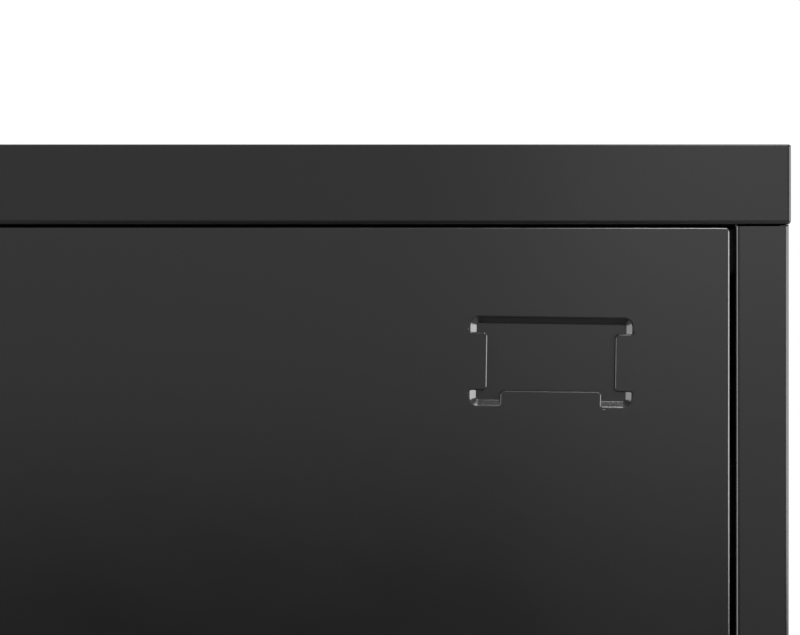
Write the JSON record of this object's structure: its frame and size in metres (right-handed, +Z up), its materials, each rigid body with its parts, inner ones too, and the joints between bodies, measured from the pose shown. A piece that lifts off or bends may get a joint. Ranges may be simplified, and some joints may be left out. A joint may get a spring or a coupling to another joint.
{
  "type": "tall chest of drawers",
  "caption": "Tall folded sheet-steel chest of drawers: overhanging cap and base, inset fronts with pressed label holders, ledge pulls, full-extension ball-bearing slides.",
  "frame": {"origin": "on the floor, under the middle of the whole chest's box, pulls included", "axes": "+Z up, the drawers open towards -Y, and +X is the chest's right side as seen from its front"},
  "size_m": [0.5, 0.414, 1.25],
  "materials": {
    "powder_coat": "smooth semi-gloss near-black powder coat",
    "zinc_plate": "bright zinc plate, with bare sheared ends",
    "bearing_steel": "plated cage strip with polished balls",
    "rubber": "matt",
    "moulded_nylon": "fine moulded grain"
  },
  "bodies": {
    "case": {"back_sheet": "powder_coat", "base_pan": "powder_coat", "case_fasteners": "zinc_plate", "corner_plates": "zinc_plate", "feet": "moulded_nylon", "front_rails": "powder_coat", "left_side": "powder_coat", "left_upright": "powder_coat", "right_side": "powder_coat", "right_upright": "powder_coat", "top_cap": "powder_coat", "top_stiffener": "powder_coat", "wall_rail": "powder_coat", "drawer_bumpers": "rubber", "slide_case_members_1": "zinc_plate", "slide_case_members_2": "zinc_plate", "slide_case_members_3": "zinc_plate", "slide_case_members_4": "zinc_plate", "slide_case_members_5": "zinc_plate"},
    "drawer_1": {"drawer_front_1": "powder_coat", "drawer_tray_1": "powder_coat", "drawer_pull_1": "powder_coat", "drawer_screws_1": "zinc_plate", "slide_drawer_members_1": "zinc_plate"},
    "middle_members_1": {"slide_middle_members_1": "zinc_plate"},
    "outer_cages_1": {"slide_outer_cages_1": "bearing_steel"},
    "inner_cages_1": {"slide_inner_cages_1": "bearing_steel"},
    "drawer_2": {"drawer_front_2": "powder_coat", "drawer_tray_2": "powder_coat", "drawer_pull_2": "powder_coat", "drawer_screws_2": "zinc_plate", "slide_drawer_members_2": "zinc_plate"},
    "middle_members_2": {"slide_middle_members_2": "zinc_plate"},
    "outer_cages_2": {"slide_outer_cages_2": "bearing_steel"},
    "inner_cages_2": {"slide_inner_cages_2": "bearing_steel"},
    "drawer_3": {"drawer_front_3": "powder_coat", "drawer_tray_3": "powder_coat", "drawer_pull_3": "powder_coat", "drawer_screws_3": "zinc_plate", "slide_drawer_members_3": "zinc_plate"},
    "middle_members_3": {"slide_middle_members_3": "zinc_plate"},
    "outer_cages_3": {"slide_outer_cages_3": "bearing_steel"},
    "inner_cages_3": {"slide_inner_cages_3": "bearing_steel"},
    "drawer_4": {"drawer_front_4": "powder_coat", "drawer_tray_4": "powder_coat", "drawer_pull_4": "powder_coat", "drawer_screws_4": "zinc_plate", "slide_drawer_members_4": "zinc_plate"},
    "middle_members_4": {"slide_middle_members_4": "zinc_plate"},
    "outer_cages_4": {"slide_outer_cages_4": "bearing_steel"},
    "inner_cages_4": {"slide_inner_cages_4": "bearing_steel"},
    "drawer_5": {"drawer_front_5": "powder_coat", "drawer_tray_5": "powder_coat", "drawer_pull_5": "powder_coat", "drawer_screws_5": "zinc_plate", "slide_drawer_members_5": "zinc_plate"},
    "middle_members_5": {"slide_middle_members_5": "zinc_plate"},
    "outer_cages_5": {"slide_outer_cages_5": "bearing_steel"},
    "inner_cages_5": {"slide_inner_cages_5": "bearing_steel"}
  },
  "joints": [
    {"name": "drawer_1_slide", "type": "slide", "parent": "case", "child": "drawer_1", "axis": [0, -1, 0], "range_m": [0, 0.35]},
    {"name": "middle_members_1_slide", "type": "slide", "parent": "case", "child": "middle_members_1", "axis": [0, -1, 0], "range_m": [0, 0.175]},
    {"name": "outer_cages_1_slide", "type": "slide", "parent": "case", "child": "outer_cages_1", "axis": [0, -1, 0], "range_m": [0, 0.0875]},
    {"name": "inner_cages_1_slide", "type": "slide", "parent": "case", "child": "inner_cages_1", "axis": [0, -1, 0], "range_m": [0, 0.2625]},
    {"name": "drawer_2_slide", "type": "slide", "parent": "case", "child": "drawer_2", "axis": [0, -1, 0], "range_m": [0, 0.35]},
    {"name": "middle_members_2_slide", "type": "slide", "parent": "case", "child": "middle_members_2", "axis": [0, -1, 0], "range_m": [0, 0.175]},
    {"name": "outer_cages_2_slide", "type": "slide", "parent": "case", "child": "outer_cages_2", "axis": [0, -1, 0], "range_m": [0, 0.0875]},
    {"name": "inner_cages_2_slide", "type": "slide", "parent": "case", "child": "inner_cages_2", "axis": [0, -1, 0], "range_m": [0, 0.2625]},
    {"name": "drawer_3_slide", "type": "slide", "parent": "case", "child": "drawer_3", "axis": [0, -1, 0], "range_m": [0, 0.35]},
    {"name": "middle_members_3_slide", "type": "slide", "parent": "case", "child": "middle_members_3", "axis": [0, -1, 0], "range_m": [0, 0.175]},
    {"name": "outer_cages_3_slide", "type": "slide", "parent": "case", "child": "outer_cages_3", "axis": [0, -1, 0], "range_m": [0, 0.0875]},
    {"name": "inner_cages_3_slide", "type": "slide", "parent": "case", "child": "inner_cages_3", "axis": [0, -1, 0], "range_m": [0, 0.2625]},
    {"name": "drawer_4_slide", "type": "slide", "parent": "case", "child": "drawer_4", "axis": [0, -1, 0], "range_m": [0, 0.35]},
    {"name": "middle_members_4_slide", "type": "slide", "parent": "case", "child": "middle_members_4", "axis": [0, -1, 0], "range_m": [0, 0.175]},
    {"name": "outer_cages_4_slide", "type": "slide", "parent": "case", "child": "outer_cages_4", "axis": [0, -1, 0], "range_m": [0, 0.0875]},
    {"name": "inner_cages_4_slide", "type": "slide", "parent": "case", "child": "inner_cages_4", "axis": [0, -1, 0], "range_m": [0, 0.2625]},
    {"name": "drawer_5_slide", "type": "slide", "parent": "case", "child": "drawer_5", "axis": [0, -1, 0], "range_m": [0, 0.35]},
    {"name": "middle_members_5_slide", "type": "slide", "parent": "case", "child": "middle_members_5", "axis": [0, -1, 0], "range_m": [0, 0.175]},
    {"name": "outer_cages_5_slide", "type": "slide", "parent": "case", "child": "outer_cages_5", "axis": [0, -1, 0], "range_m": [0, 0.0875]},
    {"name": "inner_cages_5_slide", "type": "slide", "parent": "case", "child": "inner_cages_5", "axis": [0, -1, 0], "range_m": [0, 0.2625]}
  ],
  "couplings": [
    {"joint": "middle_members_1_slide", "follows": "drawer_1_slide", "ratio": 0.5},
    {"joint": "outer_cages_1_slide", "follows": "drawer_1_slide", "ratio": 0.25},
    {"joint": "inner_cages_1_slide", "follows": "drawer_1_slide", "ratio": 0.75},
    {"joint": "middle_members_2_slide", "follows": "drawer_2_slide", "ratio": 0.5},
    {"joint": "outer_cages_2_slide", "follows": "drawer_2_slide", "ratio": 0.25},
    {"joint": "inner_cages_2_slide", "follows": "drawer_2_slide", "ratio": 0.75},
    {"joint": "middle_members_3_slide", "follows": "drawer_3_slide", "ratio": 0.5},
    {"joint": "outer_cages_3_slide", "follows": "drawer_3_slide", "ratio": 0.25},
    {"joint": "inner_cages_3_slide", "follows": "drawer_3_slide", "ratio": 0.75},
    {"joint": "middle_members_4_slide", "follows": "drawer_4_slide", "ratio": 0.5},
    {"joint": "outer_cages_4_slide", "follows": "drawer_4_slide", "ratio": 0.25},
    {"joint": "inner_cages_4_slide", "follows": "drawer_4_slide", "ratio": 0.75},
    {"joint": "middle_members_5_slide", "follows": "drawer_5_slide", "ratio": 0.5},
    {"joint": "outer_cages_5_slide", "follows": "drawer_5_slide", "ratio": 0.25},
    {"joint": "inner_cages_5_slide", "follows": "drawer_5_slide", "ratio": 0.75}
  ]
}
